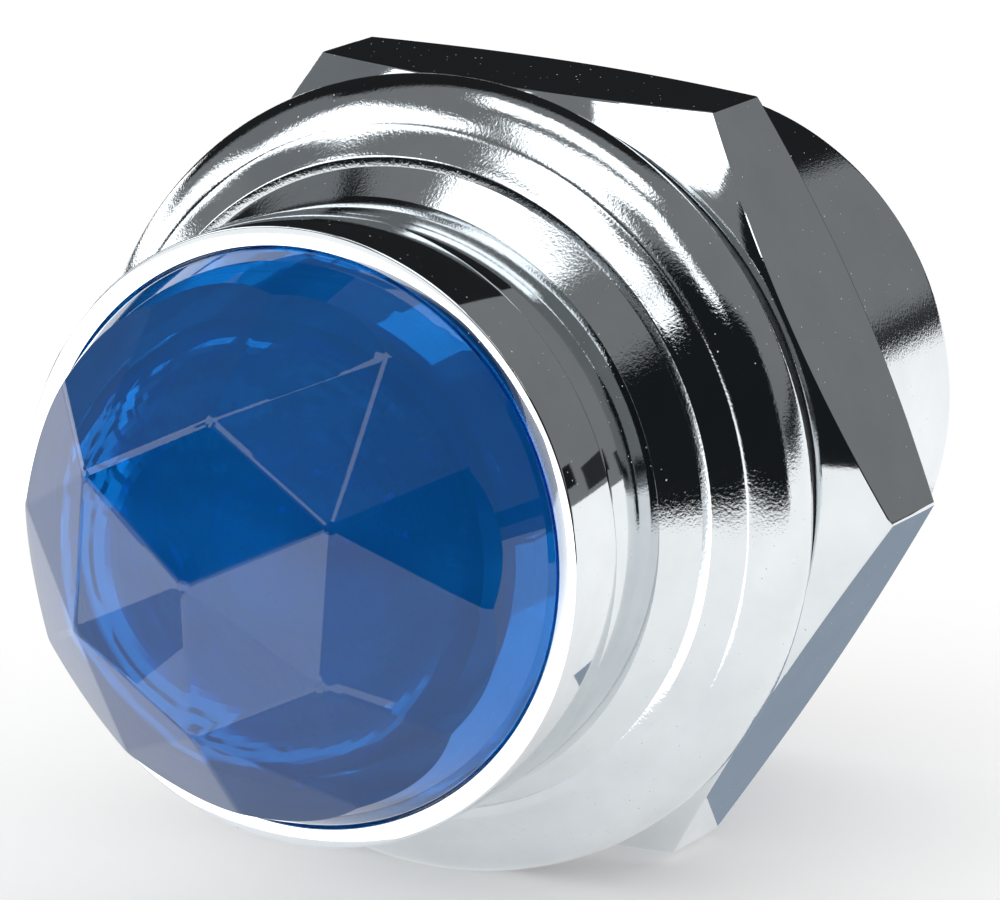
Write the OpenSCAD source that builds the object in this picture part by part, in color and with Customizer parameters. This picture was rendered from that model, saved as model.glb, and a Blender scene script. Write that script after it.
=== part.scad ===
// Panel pilot light with a screw-on lens cap, a faceted jewel and a sprung bayonet lamp.
// The origin is the centre of the flange's rear face. The front looks along -Y, +Z is up.
// The radii build up from the lamp outwards, so each value here is a wall, a width or a gap.

/* [Flange] */
// Height of the flange and its cove, from the rear face to the seam under the lens cap
flange_h = 4.1; // [3.6:0.1:5]
// Width of the cove, from the collar to its foot
cove_w = 0.9; // [0.7:0.05:1.2]
// Height of the foot of the cove
cove_h = 2.6; // [2.4:0.1:3]
// Width of the narrow ledge at the foot of the cove
ledge_w = 0.3; // [0.1:0.05:0.4]
// Width of the slope outside the cove
slope_w = 0.85; // [0.6:0.05:1.1]
// Height of the foot of the slope
slope_h = 2.0; // [1.6:0.1:2.2]
// Width of the rounded bead outside the slope
bead_w = 1.2; // [1:0.05:1.6]
// Height of the widest line of the flange
edge_h = 0.55; // [0.5:0.05:1]
// Radius of the rounded rear edge
edge_r = 0.45; // [0.2:0.05:0.5]

/* [Neck and barrel] */
// Wall of the plain barrel
barrel_wall = 1.3; // [1:0.1:1.6]
// Height of the threads on the neck, over the barrel
neck_step = 0.3; // [0.2:0.05:0.5]
// Wall between the neck's outer thread and the screwed bore for the lens cap
neck_wall = 1.25; // [1:0.05:1.5]
// Length of the threaded neck
neck_l = 7.4; // [7:0.1:9]
// Distance from the flange's rear face to the end of the barrel
barrel_l = 15.7; // [15:0.1:19]
// Depth of the lip that is rolled in behind the terminal base
rolled_t = 0.5; // [0.3:0.1:0.8]
// Width of the step that the terminal base seats against
base_step = 0.5; // [0.3:0.05:0.7]
// Size of the cuts on the turned edges
edge_cut = 0.3; // [0.1:0.05:0.4]

/* [Lens cap] */
// Width of the shoulder that meets the flange at the seam
shoulder_w = 1.0; // [0.8:0.05:1.3]
// Step from the collar out to the crimped rim
rim_step = 0.1; // [0.05:0.01:0.3]
// Height of the cap from the seam to the front edge
cap_h = 5.1; // [4.8:0.1:6.5]
// Height of the crimped rim
rim_h = 2.4; // [2.2:0.1:2.6]
// Depth of the fine groove under the rim
rim_groove = 0.06; // [0.03:0.01:0.1]
// Width of the lip that is crimped over the jewel
lip_w = 0.63; // [0.55:0.01:0.7]
// Thickness of the crimped lip
lip_t = 0.5; // [0.35:0.05:0.6]
// Wall of the crimped rim beside the jewel
rim_wall = 0.35; // [0.3:0.01:0.4]
// Length of the screwed skirt below the seam
skirt_l = 3.6; // [3:0.1:3.8]
// Wall of the screwed skirt
skirt_wall = 0.9; // [0.7:0.1:1.1]

/* [Jewel] */
// Width from the jewel's girdle in to the corners of the crown's lower ring
crown_step = 0.87; // [0.6:0.01:1.2]
// Height of the smooth girdle in front of the lip
girdle_h = 2.3; // [1.8:0.1:2.8]
// Width from the corners of the lower ring in to those of the upper ring
facet_w = 2.9; // [2.5:0.1:3.3]
// Height of the upper ring above the lower ring
table_h = 2.85; // [2.5:0.05:3.2]
// Height of the apex above the upper ring
apex_h = 0.95; // [0.6:0.05:1.2]
// Width of the land between the crown's lower ring and the girdle
crown_land = 0.06; // [0.03:0.01:0.12]
// Turn of the facets about the axis, in degrees
facet_turn = 25.5; // [0:0.5:60]
// Thickness of the jewel's rim under the lip
jewel_rim_t = 1.3; // [1:0.1:1.5]
// Width of the air between the lamp and the side of the jewel's hollow
hollow_room = 2.2; // [1.5:0.1:2.5]
// Height of the hollow above the jewel's base
hollow_h = 4.9; // [4.5:0.1:5.2]

/* [Seals and washer] */
// Thickness of the rubber ring under the jewel
jewel_gasket_t = 0.5; // [0.3:0.1:0.6]
// Thickness of the seal at the root of the skirt
cap_seal_t = 0.5; // [0.3:0.1:0.8]
// Width of the seal at the root of the skirt
cap_seal_w = 0.5; // [0.3:0.05:0.6]
// Thickness of the rubber ring behind the flange
panel_gasket_t = 1.0; // [0.5:0.1:1.2]
// Width of the rubber ring behind the flange
panel_gasket_w = 1.8; // [1.4:0.1:2.2]
// Thickness of the lock washer
lock_t = 0.8; // [0.6:0.1:1]
// Width of the lock washer with its teeth
lock_w = 1.5; // [1.3:0.1:1.8]
// Width of the lock washer's solid ring
lock_ring_w = 0.8; // [0.6:0.05:0.9]
// Number of inner teeth on the lock washer
lock_teeth = 16; // [8:1:20]
// Share of the pitch that each tooth fills
tooth_fill = 0.39; // [0.3:0.01:0.5]
// Twist of each tooth, in degrees
tooth_twist = 12; // [0:1:14]

/* [Nut] */
// Wall of the nut from the neck to the flats
nut_wall = 2.0; // [1.8:0.1:2.6]
// Thickness of the nut
nut_t = 4.8; // [4:0.1:5.2]
// Angle at which the nut comes to rest, in degrees
nut_rest = -3; // [-30:1:30]
// Slope of the nut's chamfers, in degrees
nut_chamfer = 25; // [15:1:35]
// Width of the flat ring that the chamfers leave short of the flats
nut_face_cut = 0.3; // [0.1:0.05:0.6]

/* [Lamp] */
// Overall length of the lamp
lamp_l = 20.0; // [18:0.1:20.2]
// Diameter of the lamp's metal cap
lamp_cap_d = 7.0; // [6.8:0.1:7.2]
// Length of the lamp's metal cap
lamp_cap_l = 6.5; // [6:0.1:7]
// Wall of the lamp's metal cap
lamp_cap_wall = 0.3; // [0.25:0.05:0.4]
// Step from the metal cap in to the glass
glass_step = 0.1; // [0.05:0.05:0.3]
// Wall of the glass
glass_wall = 0.35; // [0.3:0.05:0.45]
// Length of the glass that is cemented into the cap
glass_root = 1.6; // [1:0.1:2]
// Diameter of a bayonet pin
pin_d = 1.3; // [1:0.1:1.4]
// Height of the pins outside the socket shell
pin_end = 0.36; // [0.2:0.02:0.6]
// Length of the pins inside the metal cap
pin_root = 0.3; // [0.2:0.05:0.5]
// Distance from the rim of the metal cap to the pins
pin_drop = 3.0; // [2.5:0.1:3.5]
// Height of the black insulator below the metal cap
insulator_h = 0.7; // [0.5:0.1:1]
// Length of the black insulator inside the metal cap
insulator_plug_l = 0.8; // [0.5:0.1:1.2]
// Height of the solder contact
tip_h = 0.5; // [0.3:0.1:0.6]
// Diameter of a filament post
post_d = 0.3; // [0.2:0.05:0.4]
// Distance between the filament posts
post_gap = 3.0; // [2:0.1:3.4]
// Length of each post inside the glass plug
post_root = 0.8; // [0.5:0.1:1.2]
// Air between the lamp's top and the jewel's hollow
lamp_air = 1.5; // [1.3:0.1:2]
// Height of the filament above the lamp's metal cap
filament_h = 8.0; // [6:0.1:9]
// Number of turns in the filament
filament_turns = 9; // [4:1:12]

/* [Socket] */
// Wall of the socket shell
shell_wall = 0.45; // [0.4:0.05:0.6]
// Radial play of the lamp in the socket shell
lamp_play = 0.09; // [0.05:0.01:0.1]
// Distance that the shell's rim lies below the rim of the lamp's metal cap
shell_drop = 0.5; // [0.3:0.1:1]
// Width of the shell's flange outside its rivets
shell_edge_w = 0.1; // [0.05:0.05:0.3]
// Gap between the shell's flange and the barrel
shell_gap = 0.4; // [0.2:0.05:0.6]
// Thickness of the shell's flange
shell_flange_t = 0.5; // [0.4:0.1:0.7]
// Play of the pins in the bayonet slots, on each side
slot_play = 0.1; // [0.05:0.01:0.2]
// Turn of the lamp between the entry slot and its seat, in degrees
slot_turn = 32; // [28:1:45]
// Travel of the lamp when it is pushed in
push = 1.2; // [0.8:0.1:1.3]
// Thickness of the terminal base
base_t = 2.0; // [1.8:0.1:3]
// Gap between the socket shell and the rivet heads
rivet_gap = 0.46; // [0.3:0.02:0.7]
// Diameter of a rivet's shank
rivet_d = 1.6; // [1.4:0.1:1.8]
// Diameter of a rivet's head
rivet_head_d = 2.6; // [2.4:0.1:2.7]
// Thickness of a rivet's head
rivet_head_t = 0.35; // [0.3:0.05:0.5]

/* [Contact and terminals] */
// Width of the plunger's head outside the spring
plunger_edge = 0.22; // [0.1:0.02:0.4]
// Thickness of the plunger's head
plunger_t = 0.5; // [0.4:0.1:0.6]
// Diameter of the plunger's stem
stem_d = 1.7; // [1.5:0.1:1.8]
// Length of the plunger's stem behind the eyelet
plunger_tail = 0.3; // [0.2:0.05:0.6]
// Wall of the centre eyelet
eyelet_wall = 0.5; // [0.4:0.05:0.6]
// Width of the eyelet's flanges
eyelet_flange_w = 0.7; // [0.6:0.05:0.8]
// Thickness of the eyelet's flanges
eyelet_flange_t = 0.3; // [0.25:0.05:0.4]
// Diameter of the spring wire
wire_d = 0.35; // [0.3:0.05:0.4]
// Gap between the plunger's stem and the spring
spring_gap = 0.18; // [0.1:0.02:0.3]
// Number of turns in the spring
spring_turns = 4; // [3:1:5]
// Thickness of the terminals
terminal_t = 0.5; // [0.4:0.1:0.7]
// Width of the terminals
terminal_w = 2.8; // [2.4:0.1:3.2]
// Width of the round eye at each terminal's foot, beside its hole
terminal_eye = 0.7; // [0.6:0.05:0.8]
// Length of the terminals behind the base
terminal_l = 5.0; // [4:0.1:6.5]
// Diameter of the wire hole in each terminal
wire_hole_d = 1.4; // [1:0.1:1.6]
// Gap between each terminal's blade and the rivet head beside it
blade_gap = 0.6; // [0.4:0.05:0.9]

/* [Fits] */
// Radial play of a screwed or sliding fit
thread_play = 0.05; // [0.02:0.01:0.09]
// Radial play of a pressed or cemented piece
seat_play = 0.01; // [0.005:0.005:0.03]

/* [Hidden] */
round_fn = 96;
curve_steps = 9;
crown_sides = 6;

// Heights along the axis, forwards from the flange's rear face.
seam_z = flange_h;
lip_z = seam_z + cap_h;
jewel_top_z = lip_z - lip_t;
jewel_base_z = jewel_top_z - jewel_rim_t;
cap_floor_z = jewel_base_z - jewel_gasket_t;
skirt_end_z = seam_z - skirt_l;
crown_z = lip_z + girdle_h;
table_z = crown_z + table_h;
apex_z = table_z + apex_h;
nut_z = -panel_gasket_t - lock_t;
barrel_end_z = -barrel_l;
base_rear_z = barrel_end_z + rolled_t;
base_front_z = base_rear_z + base_t;

// The lamp hangs from the apex of the jewel's hollow and its contact meets the plunger.
hollow_top_z = jewel_base_z + hollow_h;
glass_top_z = hollow_top_z - lamp_air;
lamp_tip_z = glass_top_z - lamp_l;
insulator_z = lamp_tip_z + tip_h;
lamp_cap_z = insulator_z + insulator_h;
lamp_rim_z = lamp_cap_z + lamp_cap_l;
pins_z = lamp_rim_z - pin_drop;
shell_top_z = lamp_rim_z - shell_drop;
plunger_z = lamp_tip_z - plunger_t;
foot_z = base_rear_z - terminal_t;
blade_z = base_rear_z - terminal_l;

// Radii of the lamp and its socket.
lamp_cap_r = lamp_cap_d / 2;
lamp_cap_bore_r = lamp_cap_r - lamp_cap_wall;
root_r = lamp_cap_bore_r - seat_play;
glass_r = lamp_cap_r - glass_step;
glass_bore_r = glass_r - glass_wall;
shell_bore_r = lamp_cap_r + lamp_play;
shell_r = shell_bore_r + shell_wall;
slot_w = pin_d + 2 * slot_play;
rivet_at = shell_r + rivet_gap + rivet_head_d / 2;
shell_flange_r = rivet_at + rivet_head_d / 2 + shell_edge_w;
stem_r = stem_d / 2;
spring_r = stem_r + spring_gap + wire_d / 2;
plunger_r = spring_r + wire_d / 2 + plunger_edge;
eyelet_bore_r = stem_r + thread_play;
eyelet_r = eyelet_bore_r + eyelet_wall;
eyelet_flange_r = eyelet_r + eyelet_flange_w;
blade_at = rivet_at - rivet_head_d / 2 - blade_gap - terminal_t;

// Radii of the housing, the cap and the jewel.
barrel_bore_r = shell_flange_r + shell_gap;
base_r = barrel_bore_r + base_step;
barrel_r = barrel_bore_r + barrel_wall;
neck_r = barrel_r + neck_step;
sliding_r = neck_r + thread_play;
screw_bore_r = neck_r - neck_wall;
seal_r = screw_bore_r + cap_seal_w;
skirt_r = screw_bore_r - thread_play;
cap_bore_r = skirt_r - skirt_wall;
collar_r = skirt_r + shoulder_w;
cove_r = collar_r + cove_w;
slope_r = cove_r + slope_w;
flange_r = slope_r + bead_w;
rim_r = collar_r + rim_step;
jewel_seat_r = rim_r - rim_wall;
opening_r = rim_r - lip_w;
girdle_r = opening_r - thread_play;
crown_r = girdle_r - crown_step;
table_r = crown_r - facet_w;
hollow_r = glass_r + hollow_room;

// Turns what is drawn along +Z so that its top faces the front, along -Y.
module facing_front() {
    rotate([90, 0, 0]) children();
}

// Points of a smooth curve from a to c that leaves and arrives towards b.
function curve(a, b, c) = [
    for (i = [0:curve_steps])
        let (t = i / curve_steps)
        (1 - t) * (1 - t) * a + 2 * t * (1 - t) * b + t * t * c
];

// A flat or stepped ring: a square section turned about the axis.
module ring(outer_r, inner_r, bottom, top) {
    translate([0, 0, bottom]) difference() {
        cylinder(r = outer_r, h = top - bottom, $fn = round_fn);
        translate([0, 0, -1]) cylinder(r = inner_r, h = top - bottom + 2, $fn = round_fn);
    }
}

// A solid disc between two heights.
module disc(r, bottom, top) {
    translate([0, 0, bottom]) cylinder(r = r, h = top - bottom, $fn = round_fn);
}

// ---- Jewel ----

// A corner of the crown, at a radius, a turn from the first corner and a height.
function corner(radius, turn, height) = [
    radius * cos(facet_turn + turn),
    radius * sin(facet_turn + turn),
    height
];

// Radius at which the plane through three points reaches a height, in one direction.
function plane_radius(p, q, r, turn, height) =
    let (n = cross(q - p, r - p))
    (n * p - n[2] * height)
    / (n[0] * cos(facet_turn + turn) + n[1] * sin(facet_turn + turn));

// A facet for each side meets at the apex. As many more and twice as many narrow ones run
// down to the lower ring, and the narrow ones carry on until the round girdle cuts them off.
module crown() {
    low_z = jewel_base_z;
    n = crown_sides;
    turn = 360 / n;
    table = [for (i = [0:n - 1]) corner(table_r, turn * i, table_z)];
    p = table[0];
    q = corner(crown_r, 0, crown_z);
    r = corner(crown_r, turn / 2, crown_z);
    ring_r = [for (a = [0, turn / 2]) plane_radius(p, q, r, a, crown_z)];
    low_r = [for (a = [0, turn / 2]) plane_radius(p, q, r, a, low_z)];
    upper = [for (i = [0:2 * n - 1]) corner(ring_r[i % 2], turn / 2 * i, crown_z)];
    lower = [for (i = [0:2 * n - 1]) corner(low_r[i % 2], turn / 2 * i, low_z)];
    points = concat([[0, 0, apex_z]], table, upper, lower, [[0, 0, low_z]]);
    up = 1 + n;
    low = up + 2 * n;
    base = low + 2 * n;
    faces = concat(
        [for (i = [0:n - 1]) [0, 1 + (i + 1) % n, 1 + i]],
        [for (i = [0:n - 1]) [1 + i, 1 + (i + 1) % n, up + 1 + 2 * i]],
        [for (i = [0:n - 1]) [1 + i, up + 1 + 2 * i, up + 2 * i]],
        [for (i = [0:n - 1]) [1 + i, up + 2 * i, up + (2 * i + 2 * n - 1) % (2 * n)]],
        [for (i = [0:2 * n - 1]) [up + i, up + (i + 1) % (2 * n), low + (i + 1) % (2 * n)]],
        [for (i = [0:2 * n - 1]) [up + i, low + (i + 1) % (2 * n), low + i]],
        [for (i = [0:2 * n - 1]) [base, low + i, low + (i + 1) % (2 * n)]]
    );
    polyhedron(points, faces);
}

module jewel() {
    slope = (girdle_r - crown_r - crown_land) / girdle_h;
    top_r = girdle_r - slope * (apex_z - lip_z);
    color([0.05, 0.15, 0.75, 0.8]) facing_front() difference() {
        union() {
            intersection() {
                crown();
                rotate_extrude($fn = round_fn) polygon([
                    [0, jewel_base_z], [girdle_r, jewel_base_z],
                    [girdle_r, lip_z], [top_r, apex_z], [0, apex_z]
                ]);
            }
            disc(jewel_seat_r - thread_play, jewel_base_z, jewel_top_z);
        }
        rotate_extrude($fn = round_fn) polygon(concat(
            [[0, jewel_base_z - 1], [hollow_r, jewel_base_z - 1]],
            curve([hollow_r, jewel_base_z + hollow_h / 3],
                  [hollow_r * 0.9, hollow_top_z],
                  [0, hollow_top_z])
        ));
    }
}

// ---- Lens cap ----

module lens_cap() {
    groove_z = lip_z - rim_h;
    color("silver") facing_front() rotate_extrude($fn = round_fn) polygon(concat(
        [[cap_bore_r, skirt_end_z], [skirt_r - edge_cut, skirt_end_z],
         [skirt_r, skirt_end_z + edge_cut], [skirt_r, seam_z],
         [collar_r - 0.08, seam_z], [collar_r, seam_z + 0.08],
         [collar_r, groove_z - rim_groove],
         [collar_r - rim_groove, groove_z],
         [rim_r - 0.05, groove_z + 0.12]],
        curve([rim_r, groove_z + 0.4], [rim_r, lip_z - 0.3], [rim_r, lip_z - 0.2]),
        curve([rim_r - 0.02, lip_z - 0.1], [rim_r - 0.06, lip_z], [rim_r - 0.2, lip_z]),
        [[opening_r + 0.1, lip_z], [opening_r, lip_z - 0.1],
         [opening_r, jewel_top_z], [jewel_seat_r, jewel_top_z],
         [jewel_seat_r, cap_floor_z], [cap_bore_r, cap_floor_z]]
    ));
}

module jewel_gasket() {
    color("black") facing_front()
        ring(jewel_seat_r - thread_play, cap_bore_r, cap_floor_z, jewel_base_z);
}

module cap_seal() {
    color("dimgray") facing_front()
        ring(seal_r - thread_play, screw_bore_r, seam_z - cap_seal_t, seam_z);
}

// ---- Housing ----

// Cove with its ledge, hollow slope and round bead, from the seam down to the rear face.
function flange_outline() = concat(
    curve([collar_r, seam_z], [collar_r + 0.05, cove_h + 0.06], [cove_r - ledge_w, cove_h + 0.03]),
    curve([cove_r, cove_h], [slope_r - 0.16, slope_h + 0.02], [slope_r, slope_h]),
    curve([slope_r + 0.02, slope_h - 0.01], [flange_r, slope_h - bead_w * 0.47], [flange_r, edge_h]),
    curve([flange_r, edge_h - 0.05], [flange_r, 0], [flange_r - edge_r, 0])
);

module housing() {
    color("silver") facing_front() rotate_extrude($fn = round_fn) polygon(concat(
        [[seal_r, seam_z]],
        flange_outline(),
        [[neck_r, 0], [neck_r, edge_cut - neck_l], [barrel_r, -neck_l],
         [barrel_r, barrel_end_z + edge_cut], [barrel_r - edge_cut, barrel_end_z],
         [barrel_bore_r, barrel_end_z], [barrel_bore_r, base_rear_z],
         [base_r, base_rear_z], [base_r, base_front_z],
         [barrel_bore_r, base_front_z], [barrel_bore_r, skirt_end_z - edge_cut],
         [screw_bore_r, skirt_end_z - edge_cut], [screw_bore_r, seam_z - cap_seal_t],
         [seal_r, seam_z - cap_seal_t]]
    ));
}

module panel_gasket() {
    color("black") facing_front()
        ring(neck_r + panel_gasket_w, neck_r + seat_play, -panel_gasket_t, 0);
}

// ---- Lock washer and nut ----

module lock_washer() {
    outer_r = neck_r + lock_w;
    ring_r = outer_r - lock_ring_w;
    tooth_w = tooth_fill * 2 * PI * ring_r / lock_teeth;
    tooth_t = 0.45 * lock_t;
    color("gainsboro") facing_front() difference() {
        union() {
            ring(outer_r, ring_r, nut_z, nut_z + lock_t);
            for (i = [0:lock_teeth - 1])
                rotate([0, 0, 360 * i / lock_teeth])
                    translate([(sliding_r + ring_r) / 2, 0, nut_z + lock_t / 2])
                        rotate([tooth_twist, 0, 0])
                            cube([ring_r - sliding_r + 0.4, tooth_w, tooth_t], center = true);
        }
        disc(sliding_r, nut_z - 1, nut_z + lock_t + 1);
    }
}

// Both faces of the nut are chamfered by the same cone.
module hex_nut() {
    flat_r = neck_r + nut_wall;
    corner_r = flat_r / cos(30);
    face_r = flat_r - nut_face_cut;
    chamfer_h = (corner_r - face_r) * tan(nut_chamfer);
    color("silver") facing_front() rotate([0, 0, nut_rest]) translate([0, 0, nut_z - nut_t]) difference() {
        intersection() {
            cylinder(r = corner_r, h = nut_t, $fn = 6);
            rotate_extrude($fn = round_fn) polygon([
                [0, 0], [face_r, 0], [corner_r, chamfer_h],
                [corner_r, nut_t - chamfer_h], [face_r, nut_t], [0, nut_t]
            ]);
        }
        translate([0, 0, -1]) cylinder(r = sliding_r, h = nut_t + 2, $fn = round_fn);
    }
}

// ---- Lamp ----

module lamp_glass() {
    dome_z = glass_top_z - glass_r;
    inner_z = dome_z + glass_bore_r;
    color([0.9, 0.95, 1, 0.5]) facing_front() rotate_extrude($fn = 64) polygon(concat(
        [[root_r - glass_wall, lamp_rim_z - glass_root], [root_r, lamp_rim_z - glass_root],
         [root_r, lamp_rim_z], [glass_r, lamp_rim_z]],
        [for (a = [0:10:90]) [glass_r * cos(a), dome_z + glass_r * sin(a)]],
        [for (a = [90:-10:0]) [glass_bore_r * cos(a), dome_z + glass_bore_r * sin(a)]],
        [[glass_bore_r, lamp_rim_z + glass_wall], [root_r - glass_wall, lamp_rim_z + glass_wall]]
    ));
}

// Glass plug that closes the bulb and carries the two posts.
module lamp_stem() {
    plug_r = root_r - glass_wall - seat_play;
    color([0.85, 0.9, 0.95, 0.6]) facing_front() difference() {
        union() {
            disc(plug_r, lamp_rim_z - glass_root, lamp_rim_z - 0.2);
            translate([0, 0, lamp_rim_z - 0.2])
                cylinder(r1 = plug_r * 0.75, r2 = plug_r * 0.62, h = 1.4, $fn = 48);
        }
        for (side = [-1, 1])
            translate([side * post_gap / 2, 0, lamp_rim_z - post_root])
                cylinder(d = post_d + 2 * seat_play, h = filament_h, $fn = 24);
    }
}

module lamp_posts() {
    color("gray") facing_front()
        for (side = [-1, 1])
            translate([side * post_gap / 2, 0, lamp_rim_z - post_root])
                cylinder(d = post_d, h = filament_h + post_root, $fn = 24);
}

// A round wire that follows a list of points, closed at both ends.
module wire(points, radius, sides) {
    count = len(points);
    spin = function (i) points[min(i + 1, count - 1)] - points[max(i - 1, 0)];
    rings = [
        for (i = [0:count - 1])
            let (d = spin(i) / norm(spin(i)))
            let (u = cross(d, [0.01, 0.02, 1]))
            let (v = cross(d, u / norm(u)))
            for (j = [0:sides - 1])
                points[i] + radius * (cos(360 * j / sides) * u / norm(u)
                                      + sin(360 * j / sides) * v)
    ];
    walls = [
        for (i = [0:count - 2])
            for (j = [0:sides - 1])
                let (k = (j + 1) % sides)
                for (face = [[i * sides + j, i * sides + k, (i + 1) * sides + k],
                             [i * sides + j, (i + 1) * sides + k, (i + 1) * sides + j]])
                    face
    ];
    first = [[for (j = [sides - 1:-1:0]) j]];
    last = [[for (j = [0:sides - 1]) (count - 1) * sides + j]];
    polyhedron(rings, concat(walls, first, last));
}

// Fine coil that lies between the tops of the two posts.
module lamp_filament() {
    coil_r = 0.22;
    span = post_gap - post_d - 2 * seat_play;
    steps = 10 * filament_turns;
    z = lamp_rim_z + filament_h - 0.3;
    color("dimgray") facing_front() wire([
        for (i = [0:steps])
            let (t = i / steps)
            let (grow = min(1, 8 * t, 8 * (1 - t)))
            [(t - 0.5) * span,
             coil_r * grow * cos(360 * t * filament_turns),
             z + coil_r * grow * sin(360 * t * filament_turns)]
    ], 0.05, 5);
}

module lamp_cap() {
    color("goldenrod") facing_front() difference() {
        ring(lamp_cap_r, lamp_cap_bore_r, lamp_cap_z, lamp_rim_z);
        for (side = [0, 180])
            rotate([0, 0, side]) translate([0, 0, pins_z]) rotate([0, 90, 0])
                cylinder(r = pin_d / 2 + seat_play, h = lamp_cap_d, $fn = 32);
    }
}

module lamp_pins() {
    inner = lamp_cap_bore_r - pin_root;
    color("goldenrod") facing_front()
        for (side = [0, 180])
            rotate([0, 0, side]) translate([inner, 0, pins_z]) rotate([0, 90, 0])
                cylinder(d = pin_d, h = shell_r + pin_end - inner, $fn = 32);
}

module lamp_insulator() {
    plug_r = lamp_cap_bore_r - seat_play;
    color("black") facing_front() union() {
        disc(plug_r, lamp_cap_z, lamp_cap_z + insulator_plug_l);
        translate([0, 0, insulator_z])
            cylinder(r1 = plug_r * 0.45, r2 = plug_r, h = insulator_h, $fn = 64);
    }
}

module lamp_contact() {
    color("lightgray") facing_front() rotate_extrude($fn = 48) polygon(concat(
        [[0, insulator_z]],
        curve([1.1, insulator_z], [1.0, lamp_tip_z], [0.3, lamp_tip_z]),
        [[0, lamp_tip_z]]
    ));
}

// ---- Socket ----

// Two bayonet slots: in from the rim, across, and up again to the seat of the pin.
module socket_shell() {
    slot_floor_z = pins_z - push - slot_w / 2;
    slot_middle_z = pins_z - push;
    seat_top_z = pins_z + slot_w / 2;
    notch = 1.15 * asin(slot_w / 2 / shell_bore_r);
    color("goldenrod") facing_front() difference() {
        union() {
            disc(shell_r, base_front_z, shell_top_z);
            disc(shell_flange_r, base_front_z, base_front_z + shell_flange_t);
        }
        disc(shell_bore_r, base_front_z - 1, shell_top_z + 1);
        for (side = [0, 180]) rotate([0, 0, side]) {
            translate([shell_r, 0, (slot_middle_z + seat_top_z) / 2])
                cube([4 * shell_wall, slot_w, seat_top_z - slot_middle_z], center = true);
            rotate([0, 0, slot_turn])
                translate([shell_r, 0, (slot_middle_z + shell_top_z + 1) / 2])
                    cube([4 * shell_wall, slot_w, shell_top_z + 1 - slot_middle_z], center = true);
            rotate([0, 0, -notch]) translate([0, 0, slot_floor_z])
                rotate_extrude(angle = slot_turn + 2 * notch, $fn = round_fn)
                    translate([shell_bore_r - 0.3, 0]) square([shell_wall + 1, slot_w]);
            translate([rivet_at, 0, base_front_z - 1])
                cylinder(r = rivet_d / 2 + seat_play, h = 3, $fn = 32);
        }
    }
}

// One rivet holds only the shell, the other also holds the shell's terminal.
module shell_rivets() {
    front_z = base_front_z + shell_flange_t;
    color("goldenrod") facing_front()
        for (side = [-1, 1]) {
            rear_z = side < 0 ? foot_z : base_rear_z;
            translate([side * rivet_at, 0, 0]) {
                disc(rivet_d / 2, rear_z, front_z);
                disc(rivet_head_d / 2, front_z, front_z + rivet_head_t);
                disc(rivet_head_d / 2, rear_z - rivet_head_t, rear_z);
            }
        }
}

module terminal_base() {
    color("saddlebrown") facing_front() difference() {
        disc(base_r - seat_play, base_rear_z, base_front_z);
        disc(eyelet_r + seat_play, base_rear_z - 1, base_front_z + 1);
        for (side = [-1, 1])
            translate([side * rivet_at, 0, 0])
                disc(rivet_d / 2 + seat_play, base_rear_z - 1, base_front_z + 1);
    }
}

// ---- Centre contact ----

module centre_eyelet() {
    color("goldenrod") facing_front() difference() {
        union() {
            disc(eyelet_r, foot_z, base_front_z);
            disc(eyelet_flange_r, base_front_z, base_front_z + eyelet_flange_t);
            disc(eyelet_flange_r, foot_z - eyelet_flange_t, foot_z);
        }
        disc(eyelet_bore_r, foot_z - 1, base_front_z + 1);
    }
}

module contact_plunger() {
    tail_z = foot_z - eyelet_flange_t - plunger_tail;
    color("goldenrod") facing_front() union() {
        disc(plunger_r, plunger_z, lamp_tip_z);
        disc(stem_r, tail_z, plunger_z);
    }
}

module contact_spring() {
    low_z = base_front_z + eyelet_flange_t + wire_d / 2;
    high_z = plunger_z - wire_d / 2;
    sides = 16;
    steps = sides * spring_turns;
    color("lightgray") facing_front() wire([
        for (i = [0:steps])
            let (a = 360 * i / sides)
            [spring_r * cos(a), spring_r * sin(a), low_z + (high_z - low_z) * i / steps]
    ], wire_d / 2 - seat_play, 8);
}

// ---- Terminals ----

// A strip bent at a right angle: a foot flat on the base and a blade with a wire hole.
module terminal(foot_from, foot_to, blade_x, hole_x, hole_r) {
    difference() {
        union() {
            translate([hole_x, 0, 0]) disc(hole_r + terminal_eye, foot_z, foot_z + terminal_t);
            translate([foot_from, -terminal_w / 2, foot_z])
                cube([foot_to - foot_from, terminal_w, terminal_t]);
            translate([blade_x, -terminal_w / 2, blade_z + terminal_w / 2])
                cube([terminal_t, terminal_w, foot_z + terminal_t - blade_z - terminal_w / 2]);
            translate([blade_x, 0, blade_z + terminal_w / 2]) rotate([0, 90, 0])
                cylinder(d = terminal_w, h = terminal_t, $fn = 48);
        }
        translate([blade_x - 1, 0, blade_z + terminal_w / 2]) rotate([0, 90, 0])
            cylinder(d = wire_hole_d, h = terminal_t + 2, $fn = 32);
        translate([hole_x, 0, foot_z - 1]) cylinder(r = hole_r, h = terminal_t + 2, $fn = 48);
    }
}

module centre_terminal() {
    color("goldenrod") facing_front()
        terminal(0, blade_at + terminal_t, blade_at, 0, eyelet_r + seat_play);
}

module shell_terminal() {
    color("goldenrod") facing_front()
        terminal(-rivet_at, -blade_at, -blade_at - terminal_t,
                 -rivet_at, rivet_d / 2 + seat_play);
}

jewel();
lens_cap();
jewel_gasket();
cap_seal();
housing();
panel_gasket();
lock_washer();
hex_nut();
lamp_glass();
lamp_stem();
lamp_posts();
lamp_filament();
lamp_cap();
lamp_pins();
lamp_insulator();
lamp_contact();
socket_shell();
shell_rivets();
terminal_base();
centre_eyelet();
contact_plunger();
contact_spring();
centre_terminal();
shell_terminal();
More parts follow.
